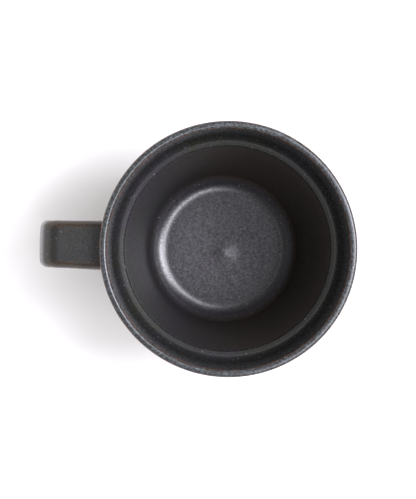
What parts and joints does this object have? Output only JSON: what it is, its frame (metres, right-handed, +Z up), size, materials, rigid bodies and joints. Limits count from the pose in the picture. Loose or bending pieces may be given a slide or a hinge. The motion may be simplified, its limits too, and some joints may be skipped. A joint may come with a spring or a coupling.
{
  "type": "mug",
  "caption": "Stoneware mug: a tapered cup with a wider collar under its lip, a ledge inside, a bare foot ring and a squared strap handle.",
  "frame": {"origin": "on the cup's axis, in the plane that the foot ring stands on", "axes": "+Z up along the cup's axis, the handle points along -X, +Y to the side of the handle"},
  "size_m": [0.1203, 0.095, 0.092],
  "materials": {
    "clay": "matte",
    "slip": "matte",
    "liner_glaze": "satin",
    "rim_glaze": "satin",
    "coat_glaze": "satin"
  },
  "bodies": {
    "root": {"cup_body": "clay", "handle": "clay", "upper_slip_joint": "slip", "lower_slip_joint": "slip", "inside_glaze": "liner_glaze", "rim_glaze": "rim_glaze", "outside_glaze": "coat_glaze", "handle_glaze": "coat_glaze", "base_glaze": "coat_glaze"}
  },
  "joints": []
}
